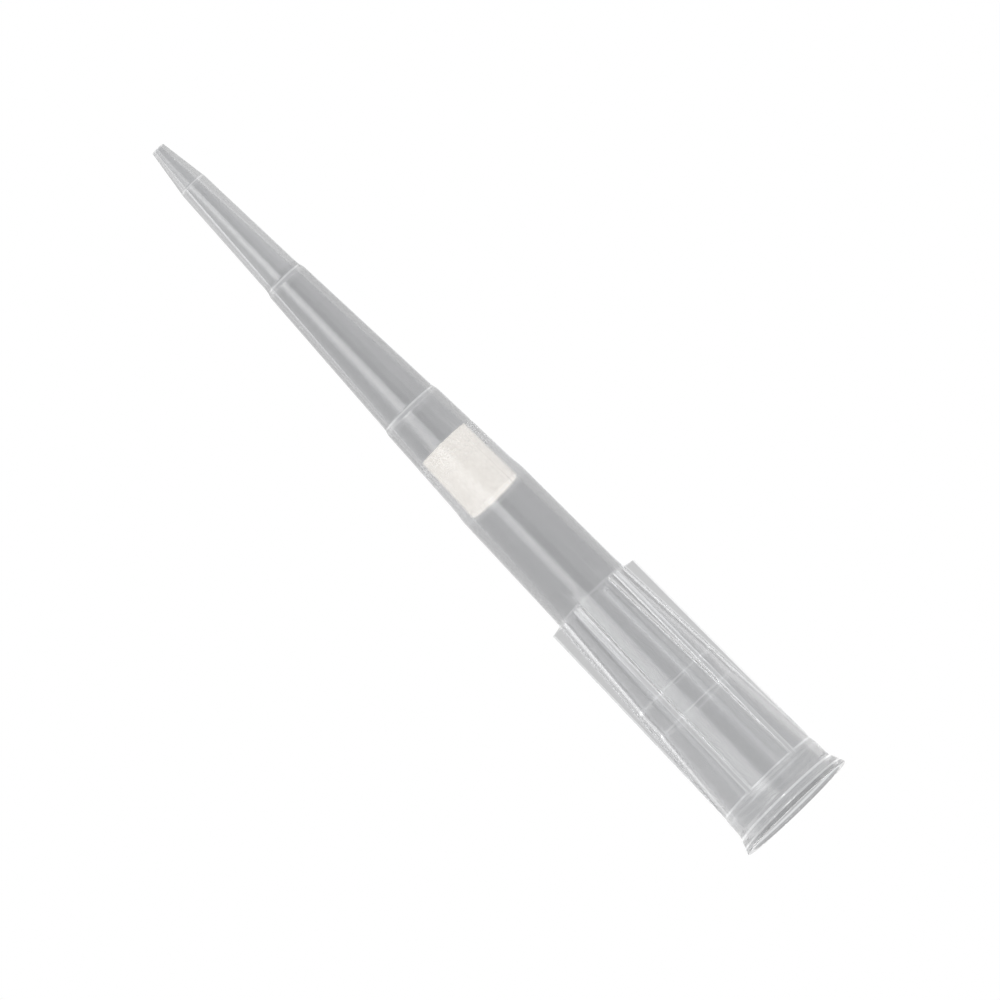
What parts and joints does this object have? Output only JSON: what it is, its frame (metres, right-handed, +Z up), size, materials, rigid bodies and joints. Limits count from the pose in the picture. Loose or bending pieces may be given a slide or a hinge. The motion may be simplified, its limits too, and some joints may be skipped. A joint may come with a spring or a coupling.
{
  "type": "filter pipette tip",
  "caption": "Clear stepped conical tip for a laboratory pipette, with a ribbed collar, a flared mouth and a white porous filter plug pressed in its bore.",
  "frame": {"origin": "centre of the mouth's rim plane, on which the tip stands", "axes": "+Z up the tip's axis, from the mouth to the orifice; +X through one of the collar's ribs"},
  "size_m": [0.0074, 0.0074, 0.051],
  "materials": {
    "clear_polypropylene": "gloss",
    "porous_polyethylene": "matte"
  },
  "bodies": {
    "root": {"tip_body": "clear_polypropylene", "filter_plug": "porous_polyethylene"}
  },
  "joints": []
}
